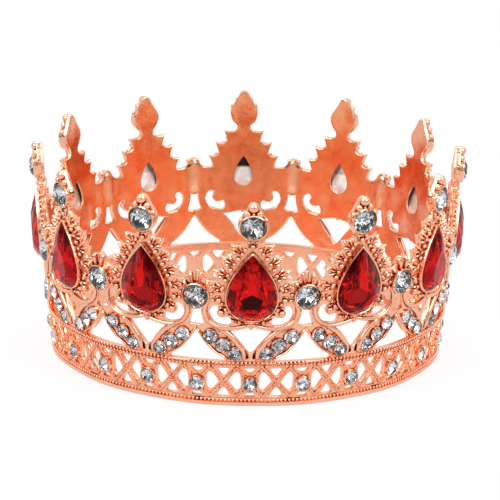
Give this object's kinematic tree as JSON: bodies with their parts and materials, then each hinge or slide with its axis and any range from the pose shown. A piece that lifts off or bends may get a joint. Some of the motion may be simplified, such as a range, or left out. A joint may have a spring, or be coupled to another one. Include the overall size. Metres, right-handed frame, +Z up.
{
  "type": "crown",
  "caption": "Full round crown with a pierced lattice band, tall serrated crests, red pear-shaped stones and round clear stones.",
  "frame": {"origin": "centre of the band's lower rim, on the surface it stands on", "axes": "+Z up the crown's axis, -Y towards the front crest"},
  "size_m": [0.124, 0.124, 0.0592],
  "materials": {
    "rose_gold": "polished rose gold plating",
    "red_stone": "faceted, foil backed",
    "clear_stone": "faceted, foil backed"
  },
  "bodies": {
    "root": {"band_quarter_1": "rose_gold", "band_quarter_2": "rose_gold", "band_quarter_3": "rose_gold", "band_quarter_4": "rose_gold", "crest_01": "rose_gold", "crest_02": "rose_gold", "crest_03": "rose_gold", "crest_04": "rose_gold", "crest_05": "rose_gold", "crest_06": "rose_gold", "crest_07": "rose_gold", "crest_08": "rose_gold", "crest_09": "rose_gold", "crest_10": "rose_gold", "crest_11": "rose_gold", "crest_12": "rose_gold", "pear_stone_01": "red_stone", "pear_stone_02": "red_stone", "pear_stone_03": "red_stone", "pear_stone_04": "red_stone", "pear_stone_05": "red_stone", "pear_stone_06": "red_stone", "pear_stone_07": "red_stone", "pear_stone_08": "red_stone", "pear_stone_09": "red_stone", "pear_stone_10": "red_stone", "pear_stone_11": "red_stone", "pear_stone_12": "red_stone", "finial_stone_01": "clear_stone", "finial_stone_02": "clear_stone", "finial_stone_03": "clear_stone", "finial_stone_04": "clear_stone", "finial_stone_05": "clear_stone", "finial_stone_06": "clear_stone", "finial_stone_07": "clear_stone", "finial_stone_08": "clear_stone", "finial_stone_09": "clear_stone", "finial_stone_10": "clear_stone", "finial_stone_11": "clear_stone", "finial_stone_12": "clear_stone", "valley_stone_01": "clear_stone", "valley_stone_02": "clear_stone", "valley_stone_03": "clear_stone", "valley_stone_04": "clear_stone", "valley_stone_05": "clear_stone", "valley_stone_06": "clear_stone", "valley_stone_07": "clear_stone", "valley_stone_08": "clear_stone", "valley_stone_09": "clear_stone", "valley_stone_10": "clear_stone", "valley_stone_11": "clear_stone", "valley_stone_12": "clear_stone"}
  },
  "joints": []
}
